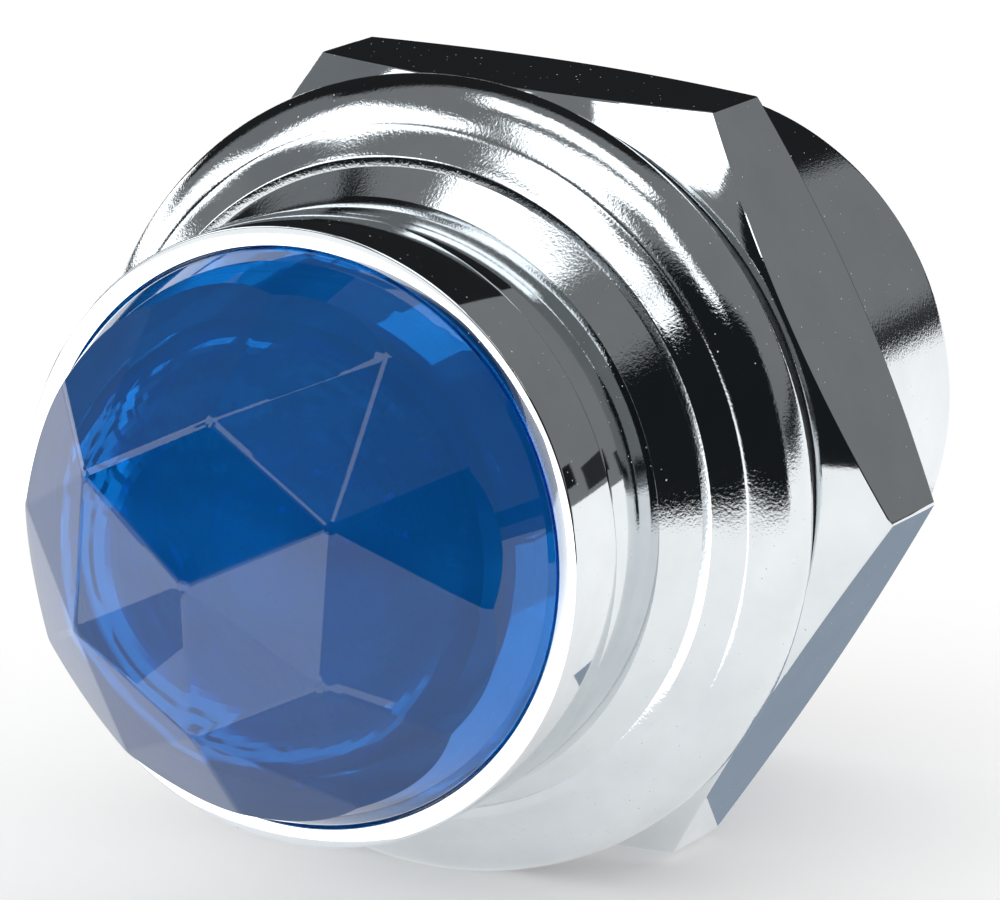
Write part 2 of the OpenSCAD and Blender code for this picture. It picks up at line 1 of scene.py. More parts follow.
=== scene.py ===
# %% [markdown]
# # Panel pilot light
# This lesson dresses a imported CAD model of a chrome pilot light. The CAD model fixes every
# size. Here each visible piece is turned, ground or filed again with finer edges, and every
# piece gets a finish worked out by nodes.

# %% Load the fixed frame
import math

import bpy
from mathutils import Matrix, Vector

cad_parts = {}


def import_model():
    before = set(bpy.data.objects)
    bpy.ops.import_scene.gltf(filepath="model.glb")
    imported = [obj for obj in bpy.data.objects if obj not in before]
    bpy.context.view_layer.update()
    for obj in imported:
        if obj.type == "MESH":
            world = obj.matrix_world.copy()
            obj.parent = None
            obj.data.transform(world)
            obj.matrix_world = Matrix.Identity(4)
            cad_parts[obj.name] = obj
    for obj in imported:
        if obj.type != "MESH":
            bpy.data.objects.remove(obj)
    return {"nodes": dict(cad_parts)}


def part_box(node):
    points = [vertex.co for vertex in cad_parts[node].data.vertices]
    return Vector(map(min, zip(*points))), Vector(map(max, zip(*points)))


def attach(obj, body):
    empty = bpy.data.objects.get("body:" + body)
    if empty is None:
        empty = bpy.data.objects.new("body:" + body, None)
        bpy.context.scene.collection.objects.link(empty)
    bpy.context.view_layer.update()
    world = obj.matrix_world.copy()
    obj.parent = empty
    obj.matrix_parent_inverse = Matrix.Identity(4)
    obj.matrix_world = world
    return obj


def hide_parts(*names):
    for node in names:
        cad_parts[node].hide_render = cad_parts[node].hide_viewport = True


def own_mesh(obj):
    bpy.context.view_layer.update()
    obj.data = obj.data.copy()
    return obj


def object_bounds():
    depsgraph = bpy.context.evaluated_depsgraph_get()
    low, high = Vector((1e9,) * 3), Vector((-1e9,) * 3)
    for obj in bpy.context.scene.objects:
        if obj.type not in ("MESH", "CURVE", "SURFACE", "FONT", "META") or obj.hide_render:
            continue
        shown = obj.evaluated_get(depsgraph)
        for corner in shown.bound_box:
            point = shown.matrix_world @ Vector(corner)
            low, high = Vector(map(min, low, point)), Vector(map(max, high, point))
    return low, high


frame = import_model()
nodes = frame["nodes"]
cad_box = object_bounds()
MM = 0.001
scene = bpy.context.scene
print("CAD nodes:", len(nodes))

# %% [markdown]
# ## Sizes
# The light's axis runs along Y and its front looks along -Y. Heights along the axis are
# measured forwards from the flange's rear face, which is the origin. Each size is read from
# the frame where a CAD node gives it, so the lesson follows the model.

# %% Read the main sizes from the frame


def radius(node):
    """Largest radius of a round CAD node."""
    low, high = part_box(node)
    return (high[2] - low[2]) / 2


def front(node):
    """Height of a CAD node's front, forwards from the flange's rear face."""
    return -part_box(node)[0][1]


def rear(node):
    """Height of a CAD node's rear."""
    return -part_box(node)[1][1]


LIP_Z = front("lens_cap")
SEAM_Z = front("cap_seal")
APEX_Z = front("jewel")
JEWEL_BASE_Z = rear("jewel")
SKIRT_END_Z = rear("lens_cap")
SEAL_Z = rear("cap_seal")
GASKET_REAR_Z = rear("jewel_gasket")
BASE_Z, BASE_REAR_Z = front("terminal_base"), rear("terminal_base")
BARREL_END_Z = rear("housing")
NUT_GAP = 0.01 * MM
NUT_FRONT_Z, NUT_REAR_Z = front("hex_nut") - NUT_GAP, rear("hex_nut")
RIM_R = radius("lens_cap")
FLANGE_R = radius("housing")
JEWEL_R = radius("jewel")
print("lip at", round(LIP_Z / MM, 2), "mm, apex at", round(APEX_Z / MM, 2), "mm")

# %% [markdown]
# The sizes below are the CAD model's own, since a box can't give them.

# %% Sizes that no box gives
RIM_STEP, RIM_H, RIM_WALL = 0.1 * MM, 2.4 * MM, 0.35 * MM
LIP_W, LIP_T = 0.63 * MM, 0.5 * MM
GROOVE = 0.06 * MM
SKIRT_R, SKIRT_BORE_R = 7.9 * MM, 7.0 * MM
COVE_R, COVE_Z, LEDGE_W = 9.8 * MM, 2.6 * MM, 0.3 * MM
SLOPE_R, SLOPE_Z = 10.65 * MM, 2.0 * MM
EDGE_Z, EDGE_R = 0.55 * MM, 0.45 * MM
NECK_R, NECK_L = 9.2 * MM, 7.4 * MM
BARREL_R, BORE_R = 8.9 * MM, 7.6 * MM
NUT_R, NUT_REST, NUT_SLOPE = 11.2 * MM, -3.0, 25.0
GIRDLE_H, TABLE_H, HOLLOW_H = 2.3 * MM, 2.85 * MM, 4.9 * MM
CROWN_R, TABLE_R, HOLLOW_R = 7.45 * MM, 4.55 * MM, 5.6 * MM
CROWN_LAND, FACET_TURN = 0.06 * MM, 25.5
PLAY = 0.05 * MM

COLLAR_R = RIM_R - RIM_STEP
SEAT_R = RIM_R - RIM_WALL
OPENING_R = RIM_R - LIP_W
GIRDLE_R = OPENING_R - PLAY
GROOVE_Z = LIP_Z - RIM_H
SHOULDER_Z = LIP_Z - LIP_T
SEAL_R = radius("cap_seal") + PLAY
BASE_R = radius("terminal_base") + 0.01 * MM
CROWN_Z = LIP_Z + GIRDLE_H
TABLE_Z = CROWN_Z + TABLE_H
HOLLOW_TOP_Z = JEWEL_BASE_Z + HOLLOW_H
NUT_FACE_R = NUT_R - 0.3 * MM
NUT_CORNER_R = NUT_R / math.cos(math.radians(30))

# %% [markdown]
# Threads, bevels and fine radii are added here, so they belong to this lesson alone.

# %% Sizes of the fine work
STEPS, THREAD_STEPS = 224, 96
PITCH, THREAD_DEPTH = 1.0 * MM, 0.3 * MM
RIM_DRAFT = 0.04 * MM
COVE_TOP_R = COLLAR_R - 0.26 * MM
NUT_BEVEL, ARRIS = 0.07 * MM, 0.11 * MM
WELD = 0.0005 * MM

# %% [markdown]
# ## Modelling helpers
# Operators act on everything selected, so each piece starts with nothing selected. A turned
# piece starts as one vertex that is extruded along its outline and then spun round the axis,
# as a lathe would cut it.

# %% Select, name and finish pieces


def deselect():
    """Leaves nothing selected and no object in edit mode."""
    if bpy.context.object and bpy.context.object.mode != "OBJECT":
        bpy.ops.object.mode_set(mode="OBJECT")
    bpy.ops.object.select_all(action="DESELECT")


def pick(piece):
    """Makes a piece the only selected and active one."""
    deselect()
    piece.select_set(True)
    bpy.context.view_layer.objects.active = piece


def named(name):
    """Names the active object and its mesh."""
    piece = bpy.context.object
    piece.name = name
    piece.data.name = name
    return piece


def settle(piece, angle):
    """Puts a piece's place in its mesh and smooths it up to an angle."""
    pick(piece)
    bpy.ops.object.transform_apply(location=True, rotation=True, scale=True)
    bpy.ops.object.shade_smooth_by_angle(angle=math.radians(angle))
    piece.data.materials.clear()
    return piece


def apply_all(piece):
    """Applies every modifier of a piece."""
    pick(piece)
    for modifier in list(piece.modifiers):
        bpy.ops.object.modifier_apply(modifier=modifier.name)
    return piece


# %% Curves for outlines


def arc(start, through, end, steps):
    """Points of a smooth curve that leaves start towards a third point and bends to end."""
    points = []
    for i in range(steps + 1):
        t = i / steps
        points.append(tuple(
            (1 - t) ** 2 * a + 2 * t * (1 - t) * b + t * t * c
            for a, b, c in zip(start, through, end)
        ))
    return points


def eased(corner, back, on, steps):
    """Rounds a corner between two points, which are given in millimetres from it."""
    r, z = corner
    return arc((r + back[0] * MM, z + back[1] * MM), corner,
               (r + on[0] * MM, z + on[1] * MM), steps)


# %% Turn a piece on the lathe, wind a thread


def drawn(name, outline, closed=True):
    """Extrudes one vertex along an outline of (radius, height) points."""
    deselect()
    bpy.ops.mesh.primitive_plane_add(size=1 * MM)
    piece = named(name)
    bpy.ops.object.mode_set(mode="EDIT")
    bpy.ops.mesh.select_all(action="SELECT")
    bpy.ops.mesh.merge(type="CENTER")
    bpy.ops.transform.translate(value=(outline[0][0], -outline[0][1], 0))
    last = outline[0]
    for point in outline[1:] + ([outline[0]] if closed else []):
        step = (point[0] - last[0], last[1] - point[1], 0)
        bpy.ops.mesh.extrude_region_move(TRANSFORM_OT_translate={"value": step})
        last = point
    return piece


def turned(name, outline, closed=True):
    """Spins an outline of (radius, height) points round the light's axis."""
    piece = drawn(name, outline, closed)
    bpy.ops.mesh.select_all(action="SELECT")
    bpy.ops.mesh.spin(steps=STEPS, angle=2 * math.pi, center=(0, 0, 0), axis=(0, 1, 0))
    bpy.ops.mesh.select_all(action="SELECT")
    bpy.ops.mesh.remove_doubles(threshold=WELD)
    bpy.ops.mesh.normals_make_consistent(inside=False)
    bpy.ops.object.mode_set(mode="OBJECT")
    return piece


def wound(name, outline, pitch, turns, steps):
    """Winds a closed outline rearwards round the axis, as a right-hand helix."""
    piece = drawn(name, outline)
    bpy.ops.mesh.select_all(action="SELECT")
    bpy.ops.mesh.remove_doubles(threshold=WELD)
    bpy.ops.object.mode_set(mode="OBJECT")
    screw = piece.modifiers.new("winding", "SCREW")
    screw.axis = "Y"
    screw.screw_offset = pitch
    screw.iterations = turns
    screw.steps = steps
    screw.render_steps = steps
    apply_all(piece)
    bpy.ops.object.mode_set(mode="EDIT")
    bpy.ops.mesh.select_all(action="DESELECT")
    bpy.ops.mesh.select_non_manifold()
    bpy.ops.mesh.fill()
    bpy.ops.mesh.select_all(action="SELECT")
    bpy.ops.mesh.normals_make_consistent(inside=False)
    bpy.ops.object.mode_set(mode="OBJECT")
    return piece


def thread(piece, crest_r, low_z, high_z):
    """Winds a ridge round a piece, with its crest at one radius."""
    root_r = crest_r - THREAD_DEPTH - 0.05 * MM
    ridge = wound("ridge", [(root_r, high_z + 0.42 * PITCH), (crest_r, high_z + 0.05 * PITCH),
                            (crest_r, high_z - 0.05 * PITCH), (root_r, high_z - 0.42 * PITCH)],
                  PITCH, round((high_z - low_z) / PITCH), THREAD_STEPS)
    deselect()
    ridge.select_set(True)
    piece.select_set(True)
    bpy.context.view_layer.objects.active = piece
    bpy.ops.object.join()
    return piece


# %% [markdown]
# ## The lens cap
# The real cap is turned brass, chrome plated, with a thin rim that is rolled over the jewel.
# A lathe outline gives all of it: the rolled lip, the fine groove under the rim, the collar
# and the screwed skirt that hides in the housing.

# %% Lens cap


def lens_cap():
    """Collar with a rim that is crimped over the jewel."""
    core_r = SKIRT_R - THREAD_DEPTH
    thread_top_z = SEAM_Z - 0.7 * MM
    side_r = RIM_R - RIM_DRAFT
    outline = [(SKIRT_BORE_R, SKIRT_END_Z), (core_r, SKIRT_END_Z), (core_r, thread_top_z),
               (SKIRT_R, SEAM_Z - 0.5 * MM), (SKIRT_R, SEAM_Z)]
    outline += eased((COLLAR_R, SEAM_Z), (-0.04, 0), (0, 0.04), 5)
    outline += arc((COLLAR_R, GROOVE_Z - 0.15 * MM), (COLLAR_R, GROOVE_Z - 0.05 * MM),
                   (COLLAR_R - GROOVE, GROOVE_Z), 5)
    outline += arc((COLLAR_R - 0.04 * MM, GROOVE_Z + 0.03 * MM),
                   (RIM_R, GROOVE_Z + 0.05 * MM), (RIM_R, GROOVE_Z + 0.16 * MM), 8)
    outline += eased((side_r, LIP_Z), (0, -0.07), (-0.07, 0), 8)
    outline += eased((OPENING_R, LIP_Z), (0.05, 0), (0, -0.05), 6)
    outline += [(OPENING_R, SHOULDER_Z), (SEAT_R, SHOULDER_Z), (SEAT_R, GASKET_REAR_Z),
                (SKIRT_BORE_R, GASKET_REAR_Z)]
    piece = turned("lens_cap_turned", outline)
    thread(piece, SKIRT_R, SKIRT_END_Z + 0.4 * MM, thread_top_z)
    return settle(piece, 40)


cap = lens_cap()
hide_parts("lens_cap")
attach(cap, "cap")
print("lens cap:", len(cap.data.polygons), "faces")

# %% [markdown]
# ## The housing
# Cove, ledge, hollow slope and round bead are one turned profile. The neck behind the flange
# carries a thread, a ridge that the Screw modifier winds along it.

# %% Housing


def housing():
    """Flange, neck and barrel."""
    core_r = NECK_R - THREAD_DEPTH
    thread_top_z = NUT_FRONT_Z + 0.6 * MM
    bore_top_z = SKIRT_END_Z - 0.3 * MM
    outline = [(SEAL_R, SEAM_Z), (COVE_TOP_R, SEAM_Z)]
    outline += arc((COVE_TOP_R, SEAM_Z - 0.45 * MM), (COVE_R - 0.65 * MM, COVE_Z + 0.42 * MM),
                   (COVE_R - LEDGE_W, COVE_Z + 0.03 * MM), 26)
    outline += eased((COVE_R, COVE_Z), (-0.04, 0.01), (0.03, -0.03), 4)
    outline += arc((COVE_R + 0.06 * MM, COVE_Z - 0.05 * MM),
                   (SLOPE_R - 0.16 * MM, SLOPE_Z + 0.02 * MM), (SLOPE_R - 0.02 * MM, SLOPE_Z), 18)
    outline += arc((SLOPE_R + 0.02 * MM, SLOPE_Z - 0.01 * MM),
                   (FLANGE_R, SLOPE_Z - 0.47 * (FLANGE_R - SLOPE_R)), (FLANGE_R, EDGE_Z), 28)
    outline += arc((FLANGE_R, EDGE_Z - 0.05 * MM), (FLANGE_R, 0), (FLANGE_R - EDGE_R, 0), 10)
    outline += [(NECK_R, 0), (NECK_R, NUT_FRONT_Z + 0.9 * MM), (core_r, thread_top_z),
                (core_r, 0.3 * MM - NECK_L), (BARREL_R, -NECK_L)]
    outline += eased((BARREL_R, BARREL_END_Z), (0, 0.5), (-0.5, 0), 10)
    outline += eased((BORE_R, BARREL_END_Z), (0.2, 0), (0, 0.2), 6)
    outline += [(BORE_R, BASE_REAR_Z), (BASE_R, BASE_REAR_Z), (BASE_R, BASE_Z),
                (BORE_R, BASE_Z), (BORE_R, bore_top_z),
                (SKIRT_R + PLAY, bore_top_z), (SKIRT_R + PLAY, SEAL_Z), (SEAL_R, SEAL_Z)]
    piece = turned("housing_turned", outline)
    thread(piece, NECK_R, 0.6 * MM - NECK_L, thread_top_z)
    return settle(piece, 35)


body = housing()
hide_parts("housing")
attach(body, "housing")
print("housing:", len(body.data.polygons), "faces")

# %% [markdown]
# ## The nut
# A hexagonal bar is chamfered on the lathe, so cones meet its flats in curved edges. The bar
# is a cylinder with six sides, the chamfers come from a turned blank by Boolean, and a bevel
# breaks every edge a little, because a sharp plated edge never catches the light.

# %% Hexagon nut


def boolean(piece, tool, operation):
    """Cuts a piece with a tool, which is then thrown away."""
    pick(piece)
    modifier = piece.modifiers.new("cut", "BOOLEAN")
    modifier.operation = operation
    modifier.solver = "EXACT"
    modifier.object = tool
    apply_all(piece)
    bpy.data.objects.remove(tool, do_unlink=True)
    return piece


def bevelled(piece, name, width, angle):
    """Breaks every edge that turns by more than an angle."""
    bevel = piece.modifiers.new(name, "BEVEL")
    bevel.width = width
    bevel.segments = 3
    bevel.limit_method = "ANGLE"
    bevel.angle_limit = math.radians(angle)
    return apply_all(piece)


def hex_nut():
    """Six flats, a chamfer on both faces and a bore."""
    deselect()
    middle = (NUT_FRONT_Z + NUT_REAR_Z) / 2
    bpy.ops.mesh.primitive_cylinder_add(
        vertices=6, radius=NUT_CORNER_R, depth=NUT_FRONT_Z - NUT_REAR_Z,
        location=(0, -middle, 0), rotation=(math.radians(90), 0, 0))
    nut = named("hex_nut_filed")
    bpy.ops.object.transform_apply(location=True, rotation=True, scale=True)
    bpy.ops.object.mode_set(mode="EDIT")
    bpy.ops.mesh.select_all(action="SELECT")
    bpy.ops.transform.rotate(value=math.radians(30 + NUT_REST), orient_axis="Y",
                             center_override=(0, 0, 0))
    bpy.ops.object.mode_set(mode="OBJECT")
    bore_r, cut = NECK_R + PLAY, 0.3 * MM
    outside = NUT_CORNER_R + 0.5 * MM
    drop = (outside - NUT_FACE_R) * math.tan(math.radians(NUT_SLOPE))
    blank = turned("nut_blank", [
        (bore_r, NUT_REAR_Z + cut), (bore_r + cut, NUT_REAR_Z), (NUT_FACE_R, NUT_REAR_Z),
        (outside, NUT_REAR_Z + drop), (outside, NUT_FRONT_Z - drop),
        (NUT_FACE_R, NUT_FRONT_Z), (bore_r + cut, NUT_FRONT_Z), (bore_r, NUT_FRONT_Z - cut)])
    boolean(nut, blank, "INTERSECT")
    bevelled(nut, "edges", NUT_BEVEL, 14)
    return settle(nut, 12)


nut = hex_nut()
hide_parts("hex_nut")
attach(nut, "nut")
print("nut:", len(nut.data.polygons), "faces")

# %% [markdown]
# ## The contact spring
# The spring behind the lamp's contact is one round section, wound four times. It shortens
# when the lamp is pushed in.

# %% Contact spring
WIRE_R, COILS = 0.16 * MM, 4


def contact_spring():
    """Round wire in four turns, squashed as the lamp goes in."""
    coil_r = radius("contact_spring") - WIRE_R - 0.005 * MM
    start_z, end_z = front("contact_spring") - WIRE_R, rear("contact_spring") + WIRE_R
    section = [(coil_r + WIRE_R * math.cos(a), start_z + WIRE_R * math.sin(a))
               for a in (math.radians(36 * i) for i in range(10))]
    piece = wound("contact_spring_wound", section, (start_z - end_z) / COILS, COILS, 32)
    settle(piece, 60)
    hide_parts("contact_spring")
    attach(piece, "housing")
    return piece


spring = contact_spring()
print("spring:", len(spring.data.polygons), "faces")

# %% [markdown]
# ## The jewel
# The jewel is pressed glass. Its crown is ground here as a lapidary would: a blank with
# twelve sides is cut by one plane after another. Six planes make the table round the apex,
# six triangles hang from its edges and twelve narrow facets run down to the girdle, where a
# turned blank cuts them off in scallops.

# %% Jewel


def corner(reach, turn, height):
    """A corner of the crown, at a turn in degrees from the first corner."""
    angle = math.radians(FACET_TURN + turn)
    return Vector((reach * math.cos(angle), -height, reach * math.sin(angle)))


def facet_planes():
    """Three corners of each of the 24 facets."""
    planes = []
    apex = Vector((0, -APEX_Z, 0))
    for i in range(6):
        here, there = corner(TABLE_R, 60 * i, TABLE_Z), corner(TABLE_R, 60 * i + 60, TABLE_Z)
        below = corner(CROWN_R, 60 * i, CROWN_Z)
        planes.append((apex, here, there))
        planes.append((here, there, corner(CROWN_R, 60 * i + 30, CROWN_Z)))
        planes.append((here, below, corner(CROWN_R, 60 * i + 30, CROWN_Z)))
        planes.append((here, below, corner(CROWN_R, 60 * i - 30, CROWN_Z)))
    return planes


def crown():
    """A blank with twelve sides, ground by 24 planes."""
    deselect()
    blank_r, blank_h = 14 * MM, 12 * MM
    bpy.ops.mesh.primitive_cylinder_add(
        vertices=12, radius=blank_r, depth=blank_h,
        location=(0, -(JEWEL_BASE_Z + blank_h / 2), 0), rotation=(math.radians(90), 0, 0))
    piece = named("jewel_cut")
    bpy.ops.object.transform_apply(location=True, rotation=True, scale=True)
    bpy.ops.object.mode_set(mode="EDIT")
    for a, b, c in facet_planes():
        normal = (b - a).cross(c - a).normalized()
        centre = Vector((0, -JEWEL_BASE_Z, 0))
        if normal.dot(a - centre) < 0:
            normal.negate()
        bpy.ops.mesh.select_all(action="SELECT")
        bpy.ops.mesh.bisect(plane_co=a, plane_no=normal, use_fill=True, clear_outer=True,
                            threshold=0.0001 * MM)
    bpy.ops.mesh.select_all(action="SELECT")
    bpy.ops.mesh.remove_doubles(threshold=0.01 * MM)
    bpy.ops.mesh.normals_make_consistent(inside=False)
    bpy.ops.mesh.select_all(action="DESELECT")
    bpy.ops.object.mode_set(mode="OBJECT")
    return bevelled(piece, "arris", ARRIS, 3)


def jewel():
    """Crown, girdle and rim in one, hollow behind."""
    piece = crown()
    slope = (GIRDLE_R - CROWN_R - CROWN_LAND) / GIRDLE_H
    girdle_z = JEWEL_BASE_Z + 0.2 * MM
    girdle = turned("jewel_blank", [
        (0.0, girdle_z), (GIRDLE_R, girdle_z), (GIRDLE_R, LIP_Z),
        (GIRDLE_R - slope * (APEX_Z - LIP_Z), APEX_Z), (0.0, APEX_Z + 0.1 * MM)], closed=False)
    boolean(piece, girdle, "INTERSECT")
    rim = turned("jewel_rim", [
        (0.0, JEWEL_BASE_Z), (JEWEL_R - 0.15 * MM, JEWEL_BASE_Z),
        (JEWEL_R, JEWEL_BASE_Z + 0.15 * MM), (JEWEL_R, SHOULDER_Z - 0.1 * MM),
        (JEWEL_R - 0.1 * MM, SHOULDER_Z), (0.0, SHOULDER_Z)], closed=False)
    boolean(piece, rim, "UNION")
    below_z = JEWEL_BASE_Z - 1 * MM
    hollow = turned("jewel_hollow", [(0.0, below_z), (HOLLOW_R, below_z)]
                    + arc((HOLLOW_R, JEWEL_BASE_Z + 1.6 * MM), (HOLLOW_R * 0.91, HOLLOW_TOP_Z),
                          (0.0, HOLLOW_TOP_Z), 24), closed=False)
    boolean(piece, hollow, "DIFFERENCE")
    return settle(piece, 3)


gem = jewel()
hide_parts("jewel")
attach(gem, "cap")
print("jewel:", len(gem.data.polygons), "faces")

# %% [markdown]
# ## Finishes
# One small class wraps a node socket, so that shader maths reads like arithmetic.

# %% Shader helpers


class Sock:
    """A node socket that can be added, multiplied and compared."""

    def __init__(self, shader, socket):
        self.shader = shader
        self.socket = socket

    def math(self, operation, other, flip=False):
        first, second = (other, self) if flip else (self, other)
        return self.shader.node("ShaderNodeMath", {"operation": operation},
                                {0: first, 1: second}, "Value")

    def __add__(self, other):
        return self.math("ADD", other)

    __radd__ = __add__

    def __sub__(self, other):
        return self.math("SUBTRACT", other)

    def __rsub__(self, other):
        return self.math("SUBTRACT", other, flip=True)

    def __mul__(self, other):
        return self.math("MULTIPLY", other)

    __rmul__ = __mul__

    def over(self, other):
        return self.math("GREATER_THAN", other)


class Shader:
    """A material under construction."""

    def __init__(self, name):
        self.material = bpy.data.materials.new(name)
        self.material.use_nodes = True
        self.tree = self.material.node_tree
        self.tree.nodes.clear()
        self.base = self.tree.nodes.new("ShaderNodeBsdfPrincipled")
        out = self.tree.nodes.new("ShaderNodeOutputMaterial")
        self.tree.links.new(self.base.outputs["BSDF"], out.inputs["Surface"])

    def node(self, kind, settings, inputs, output):
        """Adds a node: its settings first, then the values or links of its sockets."""
        made = self.tree.nodes.new(kind)
        for key, value in settings.items():
            if key == "stops":
                ramp = made.color_ramp.elements
                while len(ramp) < len(value):
                    ramp.new(1.0)
                for element, (place, colour) in zip(ramp, value):
                    element.position = place
                    element.color = colour
            else:
                setattr(made, key, value)
        for key, value in inputs.items():
            if isinstance(value, Sock):
                self.tree.links.new(value.socket, made.inputs[key])
            else:
                made.inputs[key].default_value = value
        return Sock(self, made.outputs[output])

    def place(self):
        """Object coordinates in millimetres."""
        where = self.node("ShaderNodeTexCoord", {}, {}, "Object")
        return self.node("ShaderNodeVectorMath", {"operation": "SCALE"},
                         {"Vector": where, "Scale": 1 / MM}, "Vector")

    def noise(self, scale, detail=3.0, rough=0.5):
        """Noise with features of about 1 / scale millimetres."""
        return self.node("ShaderNodeTexNoise", {},
                         {"Vector": self.place(), "Scale": scale, "Detail": detail,
                          "Roughness": rough}, "Fac")

    def ramp(self, value, *stops):
        """Turns a value into a colour by stops of (place, colour)."""
        return self.node("ShaderNodeValToRGB", {"stops": stops}, {"Fac": value}, "Color")

    def blend(self, factor, first, second):
        """Mixes two colours."""
        return self.node("ShaderNodeMix", {"data_type": "RGBA"},
                         {0: factor, 6: first, 7: second}, 2)

    def bump(self, height, strength, distance):
        """Feeds a height in millimetres to the surface's normal."""
        normal = self.node("ShaderNodeBump", {},
                           {"Height": height, "Strength": strength, "Distance": distance * MM},
                           "Normal")
        self.tree.links.new(normal.socket, self.base.inputs["Normal"])

    def set(self, **values):
        """Sets or links sockets of the surface, such as Base_Color."""
        for key, value in values.items():
            socket = self.base.inputs[key.replace("_", " ")]
            if isinstance(value, Sock):
                self.tree.links.new(value.socket, socket)
            else:
                socket.default_value = value


def grey(level):
    """An opaque grey."""
    return (level, level, level, 1.0)


# %% [markdown]
# ## Chrome
# Bright chrome is nearly a mirror. What makes it real is small: orange peel in the plating,
# fine turned circles on flat faces, a faint haze where fingers have been, and dust.

# %% Chrome


def chrome(name, peel, wave, circles):
    """Bright plate over turned brass, with some orange peel and turned circles."""
    shader = Shader(name)
    haze = shader.noise(0.35, 4.0, 0.6)
    grain = shader.noise(11.0, 3.0, 0.55)
    swell = shader.noise(1.3, 2.0, 0.5)
    speck = shader.node("ShaderNodeTexVoronoi", {},
                        {"Vector": shader.place(), "Scale": 3.2}, "Distance")
    dust = (0.22 * haze - 0.06).over(speck)
    across = shader.node("ShaderNodeVectorMath", {"operation": "MULTIPLY"},
                         {0: shader.place(), 1: (1.0, 0.0, 1.0)}, "Vector")
    reach = shader.node("ShaderNodeVectorMath", {"operation": "LENGTH"}, {0: across}, "Value")
    circle = shader.node("ShaderNodeTexNoise", {"noise_dimensions": "1D"},
                         {"W": reach, "Scale": 9.0, "Detail": 3.0}, "Fac")
    plate = shader.ramp(haze, (0.3, (0.62, 0.65, 0.67, 1)), (0.7, (0.69, 0.72, 0.74, 1)))
    shader.set(Base_Color=shader.blend(dust, plate, (0.72, 0.74, 0.75, 1.0)),
               Metallic=1.0 - dust, Roughness=0.02 + 0.035 * haze + 0.5 * dust)
    shader.bump(peel * grain + wave * swell + circles * circle + 0.3 * dust, 0.3, 0.02)
    return shader.material


for piece, *relief in ((cap, 0.03, 0.05, 0.02), (body, 0.9, 0.6, 0.03), (nut, 0.06, 0.1, 0.12)):
    piece.data.materials.append(chrome(piece.name + "_chrome", *relief))

# %% [markdown]
# ## Blue glass
# The jewel is coloured all through and a little cloudy. Part of the light crosses it, so the
# facets bend the view, and part comes back from the pigment as a clean mid blue.

# %% Blue glass


def blue_glass():
    """Blue pressed glass with a sharp skin."""
    shader = Shader("blue_glass")
    cloud = shader.noise(0.25, 3.0, 0.5)
    shader.set(Base_Color=shader.ramp(cloud, (0.3, (0.003, 0.16, 0.56, 1.0)),
                                      (0.7, (0.006, 0.21, 0.68, 1.0))),
               Roughness=0.01, IOR=1.5, Transmission_Weight=0.7)
    return shader.material


gem.data.materials.append(blue_glass())

# %% [markdown]
# ## The hidden pieces
# The CAD nodes inside keep their shape and get their own finish.

# %% Plain finishes
MOTTLE, GLOSS_SPREAD = 0.18, 0.06


def finish(name, colour, metallic, roughness, scale=3.0):
    """A solid material with a mottled colour, uneven gloss and a fine relief."""
    shader = Shader(name)
    tone = shader.noise(scale, 4.0, 0.6)
    low = tuple(c * (1 - MOTTLE) for c in colour) + (1.0,)
    high = tuple(c * (1 + MOTTLE) for c in colour) + (1.0,)
    shader.set(Base_Color=shader.ramp(tone, (0.3, low), (0.7, high)), Metallic=metallic,
               Roughness=roughness - GLOSS_SPREAD + 2 * GLOSS_SPREAD * tone)
    shader.bump(tone, 0.05, 0.05)
    return shader.material


def dress(material, *names):
    """Gives CAD nodes a material."""
    for name in names:
        slots = nodes[name].material_slots
        if not slots:
            nodes[name].data.materials.append(material)
        for slot in slots:
            slot.material = material


brass = finish("brass", (0.72, 0.52, 0.22), 1.0, 0.28)
tinned = finish("tinned_brass", (0.66, 0.64, 0.58), 1.0, 0.35)
steel = finish("zinc_steel", (0.55, 0.56, 0.57), 1.0, 0.32)
rubber = finish("black_rubber", (0.02, 0.02, 0.02), 0.0, 0.6, 6.0)
phenolic = finish("brown_phenolic", (0.13, 0.055, 0.025), 0.0, 0.42, 5.0)
enamel = finish("black_enamel", (0.012, 0.012, 0.015), 0.0, 0.15)
dress(brass, "lamp_cap", "lamp_pins", "socket_shell", "shell_rivets", "centre_eyelet",
      "contact_plunger")
dress(tinned, "centre_terminal", "shell_terminal", "lamp_contact")
dress(steel, "lock_washer", "lamp_posts", "lamp_filament")
spring.data.materials.append(steel)
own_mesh(spring)
dress(rubber, "jewel_gasket", "cap_seal", "panel_gasket")
dress(phenolic, "terminal_base")
dress(enamel, "lamp_insulator")


def clear_glass():
    """Clear blown glass of the lamp."""
    shader = Shader("clear_glass")
    shader.set(Base_Color=(0.95, 0.97, 1.0, 1.0), Roughness=0.01, IOR=1.5,
               Transmission_Weight=1.0)
    return shader.material


dress(clear_glass(), "lamp_glass", "lamp_stem")

# %% [markdown]
# ## Floor and studio
# Chrome has no colour of its own: it shows the room. The room is a dark dome with pale
# softboxes, which only mirrors and glass see, over a pale floor that keeps the shadow. Small
# cards close to the light show in one part of it and not in the next. A dull blue card on the
# floor behind the pilot light is a painted shadow, which mirrors show as darkened floor.

# %% Floor
FLOOR_Z = cad_box[0][2]
FLOOR_LIFT, FLOOR_SHINE = 0.24, 0.46


def glow(name, tone):
    """A surface that shines with one tone."""
    shader = Shader(name)
    shader.set(Base_Color=grey(0.0), Roughness=1.0, Specular_IOR_Level=0.0,
               Emission_Color=(*tone, 1.0), Emission_Strength=1.0)
    return shader.material


def hide(piece):
    """Leaves a piece of the studio to reflections and to the view through glass."""
    piece.visible_camera = False
    piece.visible_diffuse = False
    piece.visible_shadow = False
    return piece


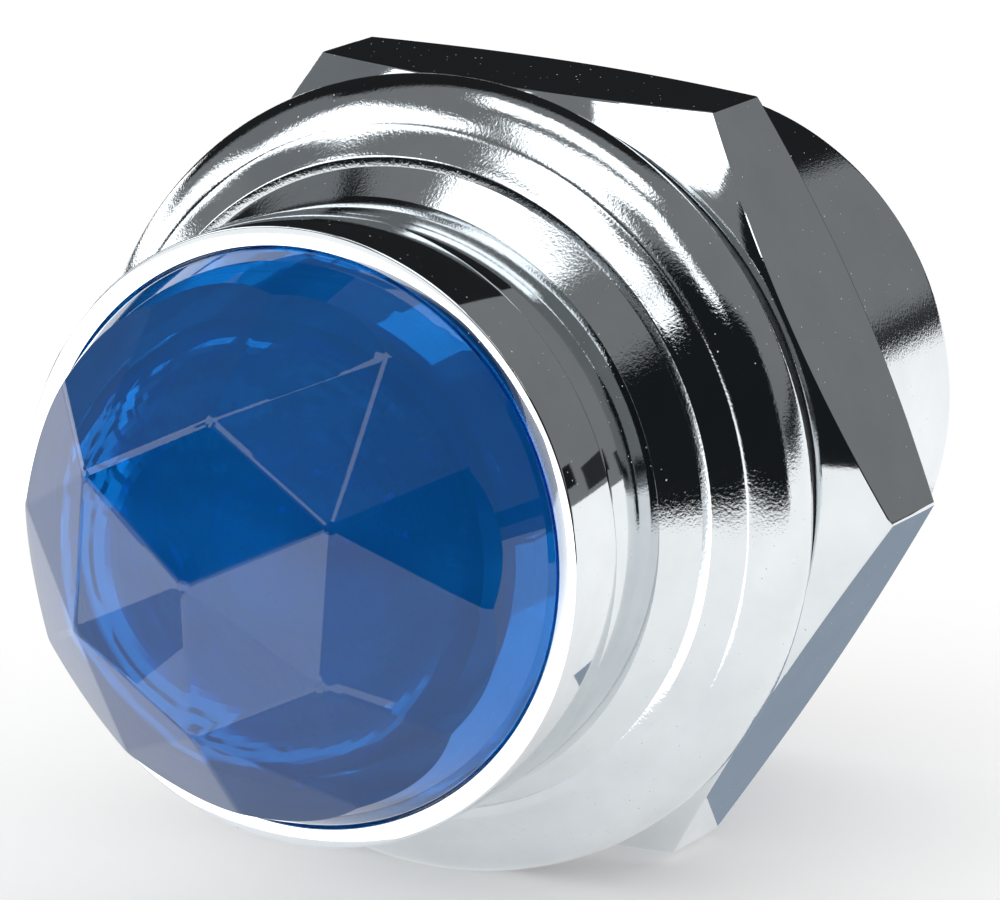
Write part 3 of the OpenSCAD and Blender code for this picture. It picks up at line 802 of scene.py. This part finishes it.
def floor():
    """A wide pale floor that reads white and keeps the light's shadow."""
    deselect()
    bpy.ops.mesh.primitive_plane_add(size=4.0, location=(0, 0, FLOOR_Z))
    piece = named("floor")
    bpy.ops.object.transform_apply(location=True, rotation=True, scale=True)
    shader = Shader("floor_white")
    camera, glossy, through = (
        shader.node("ShaderNodeLightPath", {}, {}, kind)
        for kind in ("Is Camera Ray", "Is Glossy Ray", "Is Transmission Ray"))
    lift = shader.blend(FLOOR_LIFT * camera + FLOOR_LIFT * through + FLOOR_SHINE * glossy,
                        grey(0.0), grey(1.0))
    shader.set(Base_Color=grey(0.8), Roughness=1.0, Specular_IOR_Level=0.0,
               Emission_Color=lift, Emission_Strength=1.0)
    piece.data.materials.append(shader.material)
    return piece


floor()

# %% Softboxes and flags
STUDIO_R, DOME_R = 0.9, 1.4
WALL = (0.225, 0.232, 0.236)
WHITE = (2.2, 2.25, 2.3)
BLACK = (0.016, 0.017, 0.018)
DARK = (0.012, 0.014, 0.016)


def direction(azimuth, elevation):
    """Unit vector: azimuth 0 is +Y, 90 is +X, elevation is above the floor."""
    a, e = math.radians(azimuth), math.radians(elevation)
    return Vector((math.sin(a) * math.cos(e), math.cos(a) * math.cos(e), math.sin(e)))


def card(name, azimuth, elevation, width, height, tone, reach=STUDIO_R):
    """A flat card that faces the light, with its width and height as angles."""
    deselect()
    way = direction(azimuth, elevation)
    bpy.ops.mesh.primitive_plane_add(size=1.0, location=(0, 0, 0))
    piece = named(name)
    piece.scale = (2 * reach * math.tan(math.radians(width / 2)),
                   2 * reach * math.tan(math.radians(height / 2)), 1)
    piece.rotation_mode = "QUATERNION"
    piece.rotation_quaternion = (-way).to_track_quat("Z", "Y")
    piece.location = way * reach
    piece.data.materials.append(glow(name + "_tone", tone))
    return hide(piece)


def dome():
    """Dark wall all round, above the floor."""
    deselect()
    bpy.ops.mesh.primitive_uv_sphere_add(segments=48, ring_count=24, radius=DOME_R)
    piece = named("studio_dome")
    piece.data.materials.append(glow("studio_wall", WALL))
    return hide(piece)


dome()
card("softbox_front", 184, 42, 18, 36, WHITE)
card("softbox_left", 229, 33.5, 38, 21, WHITE)
card("softbox_low", 276, 8, 65, 8, WHITE)
card("softbox_low_left", 237, 17, 47, 9, WHITE)
card("softbox_right", 147, 47, 12, 22, WHITE)
card("softbox_near", 157, 54.6, 16, 18, WHITE, reach=0.05)
card("flag_back_left", -40, 32, 75, 62, BLACK)
card("flag_corner", 258.5, 48, 19, 20, (0.2, 0.21, 0.22), reach=0.0232)
card("flag_front", 198.5, 7, 82, 11, DARK)
card("flag_right", 130, 11, 64, 46, DARK, reach=0.07)
card("small_lamp", 134, 33, 12, 5, WHITE, reach=0.065)
card("flag_back_right", 15, 3, 34, 5, (0.03, 0.032, 0.034))
card("flag_beside", 62, 6, 56, 5, DARK)


def level_card(name, left, right, near, far, height, tone):
    """A level card, given by its edges and its height in millimetres."""
    piece = card(name, 180, 0, 20, 20, tone)
    piece.scale = ((right - left) * MM, (far - near) * MM, 1)
    piece.rotation_quaternion = (1, 0, 0, 0)
    piece.location = ((left + right) / 2 * MM, (near + far) / 2 * MM, height * MM)
    return piece


LOW = FLOOR_Z / MM + 0.2
level_card("reflector_near", -13, 14, -36, -17.5, LOW, (2.6, 2.65, 2.7))
level_card("reflector_far", -66, 14, -100, -36, LOW, (3.0, 3.05, 3.1))
# painted shadow: a dull blue card on the floor behind, seen only in mirrors as floor darkened
# under the pilot light
level_card("shade_behind", -8, 12, 6, 34, LOW, (0.31, 0.37, 0.45))
level_card("softbox_top", -270, 405, -293, 90, 900, WHITE)

# %% World


def world():
    """An even white room for the soft light, and a white backdrop."""
    sky = bpy.data.worlds.new("room")
    scene.world = sky
    sky.use_nodes = True
    sky.node_tree.nodes["Background"].inputs["Color"].default_value = grey(1.0)
    sky.node_tree.nodes["Background"].inputs["Strength"].default_value = 1.0


world()

# %% Camera
FORWARD = Vector((-0.4625, 0.8554, -0.2334)).normalized()
RIGHT = Vector((0.8796, 0.4756, 0.0)).normalized()
DOWN = FORWARD.cross(RIGHT).normalized()
LENS, SENSOR = 247.4, 36.0
LIP_RIGHT, LIP_DOWN, LIP_AWAY = -5.76 * MM, 2.52 * MM, 192.87 * MM


def camera():
    """A long lens about 190 mm from the lip, 28 degrees to the side and 13 degrees above."""
    data = bpy.data.cameras.new("camera")
    data.lens = LENS
    data.sensor_width = SENSOR
    data.clip_start = 0.01
    data.clip_end = 10.0
    piece = bpy.data.objects.new("camera", data)
    scene.collection.objects.link(piece)
    lip = Vector((0, -LIP_Z, 0))
    piece.location = lip - (LIP_RIGHT * RIGHT + LIP_DOWN * DOWN + LIP_AWAY * FORWARD)
    piece.rotation_mode = "QUATERNION"
    piece.rotation_quaternion = FORWARD.to_track_quat("-Z", "Y")
    scene.camera = piece


camera()

# %% Finish
scene.view_settings.view_transform = "Standard"
